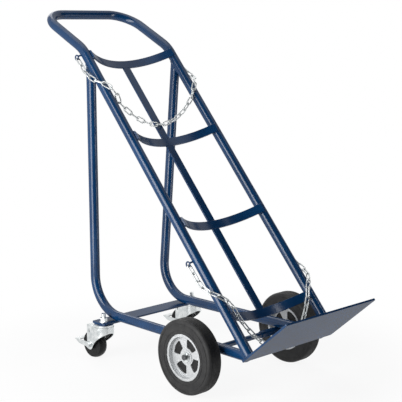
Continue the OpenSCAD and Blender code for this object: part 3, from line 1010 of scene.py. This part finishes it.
@dataclass
class Studio:
    """Pale floor, soft lamps and the camera at the photograph's angle."""

    eye: tuple[float, float, float] = (-2.04876, -2.10715, 0.95240)
    right: tuple[float, float, float] = (0.71377, -0.70038, 0.0)
    up: tuple[float, float, float] = (0.11517, 0.11738, 0.98639)
    lens_mm: float = 96.42
    sensor_mm: float = 36.0
    target: tuple[float, float, float] = (0.0, 0.0, 0.5)
    floor_r: float = 0.9
    floor_sides: int = 96
    clear_from: float = 0.45
    clear_to: float = 0.85
    paper: str = "#f2f2f2"
    paper_roughness: float = 0.9
    paper_glow: float = 0.9
    room: str = "#f6f8fa"
    room_strength: float = 0.27
    white_strength: float = 1.0
    panels: tuple[Softbox | BlackCard, ...] = (
        Softbox("left_softbox", bearing=181.0, rise=6.0, distance=1.75, width=1.0, tall=2.4, radiance=6.6),
        Softbox("right_strip", bearing=303.0, rise=6.0, distance=1.9, width=0.2, tall=2.4, radiance=9.0),
        Softbox("rear_strip", bearing=70.0, rise=35.0, distance=3.0, width=0.8, tall=2.0, radiance=3.0),
        Softbox("top", bearing=80.0, rise=72.0, distance=3.0, width=2.6, tall=2.2, radiance=1.0),
        BlackCard("front_card", bearing=248.0, rise=8.0, distance=3.4, width=6.0, tall=4.6),
        BlackCard("high_card", bearing=240.0, rise=52.0, distance=3.2, width=5.0, tall=2.6),
        BlackCard("right_card", bearing=320.0, rise=28.0, distance=3.0, width=2.4, tall=2.4),
    )

    def camera(self) -> None:
        """Places the camera where the photograph was taken from."""
        data = bpy.data.cameras.new("camera")
        data.lens = self.lens_mm
        data.sensor_width = self.sensor_mm
        right, up = Vector(self.right).normalized(), Vector(self.up).normalized()
        turn = Matrix((right, up, right.cross(up))).transposed().to_4x4()
        eye = bpy.data.objects.new("camera", data)
        eye.matrix_world = Matrix.Translation(Vector(self.eye)) @ turn
        bpy.context.scene.collection.objects.link(eye)
        bpy.context.scene.camera = eye

    def seen(self, tree: Tree) -> Socket:
        """Tells rays from the camera, from gloss and through glass from other rays.

        Args:
            tree: The node tree.

        Returns:
            The output that is 1 for these rays, and 0 for others.
        """
        rays = add_node(tree, "ShaderNodeLightPath")
        first = add_node(tree, "ShaderNodeMath", {
            0: rays.outputs["Is Camera Ray"], 1: rays.outputs["Is Glossy Ray"]}, operation="MAXIMUM")
        both = add_node(tree, "ShaderNodeMath", {
            0: first.outputs["Value"], 1: rays.outputs["Is Transmission Ray"]}, operation="MAXIMUM")
        return both.outputs["Value"]

    def pale_paper(self) -> Material:
        """Paper that keeps a faint shadow near the trolley and turns to plain white away from it.

        Returns:
            The material.
        """
        material, tree = fresh_material("pale_paper")
        lit = add_node(tree, "ShaderNodeBsdfPrincipled", {
            "Base Color": linear(self.paper), "Roughness": self.paper_roughness, "Specular IOR Level": 0.0})
        white = add_node(tree, "ShaderNodeEmission", {
            "Color": linear(WHITE), "Strength": self.white_strength})
        near = add_node(tree, "ShaderNodeMixShader", {
            0: self.paper_glow, 1: lit.outputs["BSDF"], 2: white.outputs["Emission"]})
        where = add_node(tree, "ShaderNodeTexCoord").outputs["Object"]
        away = add_node(tree, "ShaderNodeVectorMath", {0: where}, operation="LENGTH").outputs["Value"]
        clear = add_node(tree, "ShaderNodeMapRange", {
            "Value": away, "From Min": self.clear_from, "From Max": self.clear_to},
            interpolation_type="SMOOTHSTEP")
        shown = add_node(tree, "ShaderNodeMixShader", {
            0: clear.outputs["Result"], 1: near.outputs["Shader"], 2: white.outputs["Emission"]})
        mix = add_node(tree, "ShaderNodeMixShader", {
            0: self.seen(tree), 1: lit.outputs["BSDF"], 2: shown.outputs["Shader"]})
        add_node(tree, "ShaderNodeOutputMaterial", {"Surface": mix.outputs["Shader"]})
        return material

    def floor(self) -> None:
        """Lays the floor."""
        mesh = bmesh.new()
        bmesh.ops.create_circle(mesh, cap_ends=True, segments=self.floor_sides, radius=self.floor_r)
        floor = add_object("floor", mesh, self.pale_paper())

    def world(self) -> None:
        """Soft grey room light, white where the camera, metal and gloss see it."""
        world = bpy.data.worlds.new("studio")
        bpy.context.scene.world = world
        world.use_nodes = True
        tree = world.node_tree
        tree.nodes.clear()
        soft = add_node(tree, "ShaderNodeBackground", {
            "Color": linear(self.room), "Strength": self.room_strength})
        white = add_node(tree, "ShaderNodeBackground", {
            "Color": linear(WHITE), "Strength": self.white_strength})
        mix = add_node(tree, "ShaderNodeMixShader", {
            0: self.seen(tree), 1: soft.outputs["Background"], 2: white.outputs["Background"]})
        add_node(tree, "ShaderNodeOutputWorld", {"Surface": mix.outputs["Shader"]})

    def build(self) -> None:
        """Sets up the whole studio."""
        bpy.context.scene.view_settings.view_transform = "Standard"
        self.camera()
        for panel in self.panels:
            panel.build(Vector(self.target))
        self.floor()
        self.world()


def dress_nodes(finishes: Finishes) -> None:
    """Gives every CAD node its finish.

    Args:
        finishes: The trolley's materials.
    """
    for name, node in frame["nodes"].items():
        material = finishes.for_node(name)
        node.data.materials.clear()
        node.data.materials.append(material)
        LOG.info("%s: %s", name, material.name)


def main() -> None:
    """Builds the studio and dresses the trolley."""
    logging.basicConfig(level=logging.INFO, format="%(message)s")
    Studio().build()
    finishes = Finishes()
    dress_nodes(finishes)
    rails = RailFrame()
    bars = FlatBars(rails)
    EdgeBreak().build(bars.build(finishes.blue))
    WeldBeads(rails, bars).build(finishes.blue)
    StudThreads().build(finishes.zinc)


if __name__ == "__main__":
    main()
